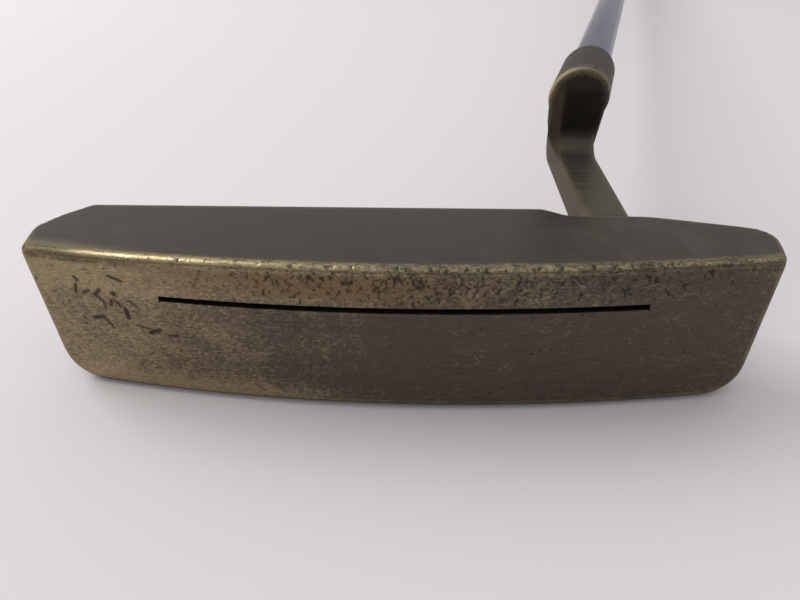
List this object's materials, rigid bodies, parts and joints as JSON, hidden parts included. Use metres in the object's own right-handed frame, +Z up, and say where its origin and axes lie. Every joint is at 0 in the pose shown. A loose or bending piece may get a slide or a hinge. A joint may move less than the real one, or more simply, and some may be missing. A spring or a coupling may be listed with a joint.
{
  "type": "blade putter",
  "caption": "Right-handed heel-and-toe weighted blade putter with a bent neck, a stepped steel shaft and a pistol grip, for rolling a golf ball.",
  "frame": {"origin": "on the floor under the middle of the whole club's bounding box, the club lying on its back with the strike face up", "axes": "+X from the toe to the heel along the leading edge, +Y from the sole towards the grip, +Z up, the way the strike face looks"},
  "size_m": [0.3472, 0.8582, 0.0421],
  "materials": {
    "head_bronze": "dark aged patina, worn to bright metal on the sole and leading edge",
    "sight_paint": "matte paint",
    "epoxy": "dark cured epoxy",
    "shaft_chrome": "chrome plated steel, lightly scuffed",
    "band_foil": "blank metallised foil",
    "tape": "paper masking tape",
    "grip_rubber": "matte moulded rubber",
    "cap_rubber": "harder, smoother moulded rubber"
  },
  "bodies": {
    "root": {"putter_head": "head_bronze", "sight_line_paint": "sight_paint", "hosel_epoxy": "epoxy", "shaft": "shaft_chrome", "shaft_band": "band_foil", "grip_tape": "tape", "grip": "grip_rubber", "grip_cap": "cap_rubber"}
  },
  "joints": []
}
